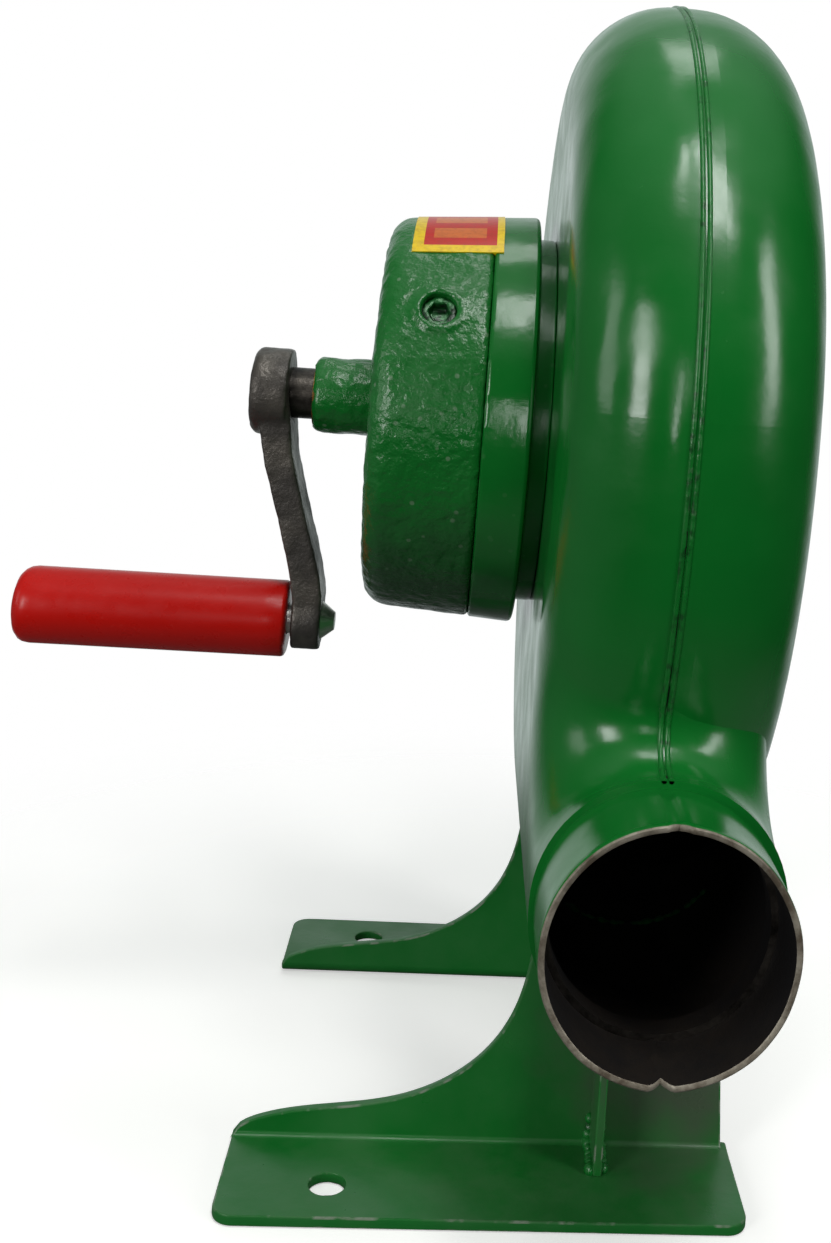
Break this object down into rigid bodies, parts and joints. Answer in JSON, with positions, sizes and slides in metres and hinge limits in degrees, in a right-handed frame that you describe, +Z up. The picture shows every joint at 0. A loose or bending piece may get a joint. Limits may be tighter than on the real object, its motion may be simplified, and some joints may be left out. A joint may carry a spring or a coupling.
{
  "type": "hand-cranked forge blower",
  "caption": "Hand-cranked centrifugal blower for a coal forge: welded sheet-steel scroll on folded feet, side gear case, dished crank arm with plastic grip, round outlet.",
  "frame": {"origin": "midway between the two foot bolt holes, on the floor plane", "axes": "+Z up, -Y along the outlet the way the air leaves, +X from the crank to the inlet side"},
  "size_m": [0.2037, 0.245, 0.2961],
  "materials": {
    "green_enamel": "glossy sprayed enamel over sheet steel",
    "green_casting": "glossy enamel over a rough sand casting",
    "bare_steel": "turned",
    "black_iron": "dark oxide over casting skin",
    "red_plastic": "moulded",
    "printed_label": "printed film",
    "bronze": "sintered",
    "galvanised_sheet": "galvanised",
    "cast_aluminium": "die cast"
  },
  "bodies": {
    "housing": {"case_bolts": "bare_steel", "case_nuts": "bare_steel", "cover_screws": "bare_steel", "crank_bush": "bronze", "fan_bush_inner": "bronze", "fan_bush_outer": "bronze", "filler_plug": "green_casting", "foot_gusset": "green_enamel", "front_foot": "green_enamel", "gear_case_base": "green_casting", "gear_case_cover": "green_casting", "inlet_lip": "green_enamel", "layshaft_stud": "bare_steel", "name_label": "printed_label", "outlet_sleeve": "green_enamel", "rear_foot": "green_enamel", "scroll_gear_side": "green_enamel", "scroll_inlet_side": "green_enamel", "seam_bead": "green_enamel"},
    "crank": {"crank_shaft": "bare_steel", "crank_gear": "bare_steel", "crank_arm": "black_iron", "arm_washer": "bare_steel", "arm_screw": "bare_steel", "grip_pin": "bare_steel"},
    "grip_body": {"grip": "red_plastic"},
    "layshaft": {"cluster_gear": "bare_steel"},
    "fan": {"fan_backplate": "galvanised_sheet", "fan_blade_1": "galvanised_sheet", "fan_blade_2": "galvanised_sheet", "fan_blade_3": "galvanised_sheet", "fan_blade_4": "galvanised_sheet", "fan_blade_5": "galvanised_sheet", "fan_blade_6": "galvanised_sheet", "fan_blade_7": "galvanised_sheet", "fan_blade_8": "galvanised_sheet", "fan_front_ring": "galvanised_sheet", "fan_hub": "cast_aluminium", "fan_nut": "bare_steel", "fan_shaft": "bare_steel"}
  },
  "joints": [
    {"name": "crank_spin", "type": "hinge", "parent": "housing", "child": "crank", "pos_m": [0, 0, 0.1815], "axis": [1, 0, 0], "continuous": true},
    {"name": "grip_spin", "type": "hinge", "parent": "crank", "child": "grip_body", "pos_m": [-0.062, 0, 0.119], "axis": [1, 0, 0], "continuous": true},
    {"name": "layshaft_spin", "type": "hinge", "parent": "housing", "child": "layshaft", "pos_m": [0.005, 0.02026, 0.16335], "axis": [1, 0, 0], "continuous": true},
    {"name": "fan_spin", "type": "hinge", "parent": "housing", "child": "fan", "pos_m": [0.03, 0, 0.179], "axis": [1, 0, 0], "continuous": true}
  ],
  "couplings": [
    {"joint": "layshaft_spin", "follows": "crank_spin", "ratio": -4.6667},
    {"joint": "fan_spin", "follows": "crank_spin", "ratio": 20.222}
  ]
}
